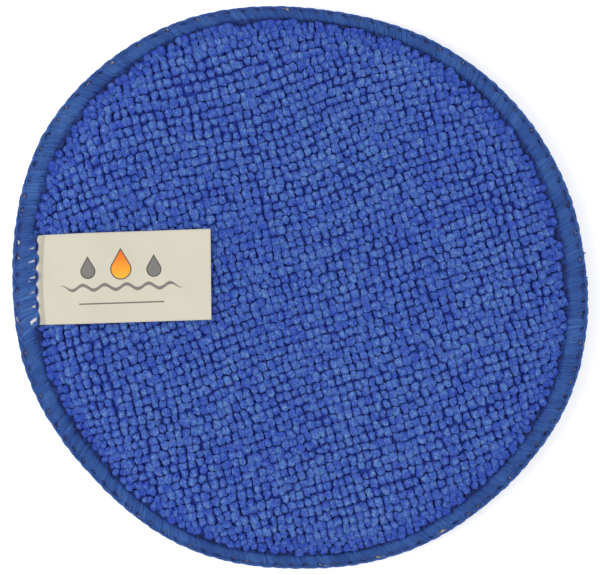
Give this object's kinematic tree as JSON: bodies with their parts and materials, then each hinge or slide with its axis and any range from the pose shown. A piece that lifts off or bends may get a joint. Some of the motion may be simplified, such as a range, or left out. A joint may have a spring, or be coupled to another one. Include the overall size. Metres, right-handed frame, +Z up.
{
  "type": "hand polishing pad",
  "caption": "Round reversible terry hand pad with a foam core, an overlocked edge and a folded cloth label sewn into the seam.",
  "frame": {"origin": "on the resting surface, under the centre of the round pad", "axes": "+Z up through the pad's thickness, out of the face that carries the label; the label is sewn in at the -X side and lies towards +X; the pad lies in XY"},
  "size_m": [0.127, 0.127, 0.0157],
  "materials": {
    "terry": "matte",
    "foam": "matte",
    "thread": "matte",
    "label_cloth": "satin"
  },
  "bodies": {
    "pad": {"top_cover": "terry", "bottom_cover": "terry", "foam_core": "foam", "needle_thread": "thread", "upper_looper_thread": "thread", "lower_looper_thread": "thread", "label_sewn_end": "label_cloth"},
    "label": {"label_flap": "label_cloth"}
  },
  "joints": [
    {"name": "label_fold", "type": "hinge", "parent": "pad", "child": "label", "pos_m": [-0.05557, 0.00126, 0.00995], "axis": [0.0332, -0.9995, 0], "range_deg": [0, 140]}
  ]
}
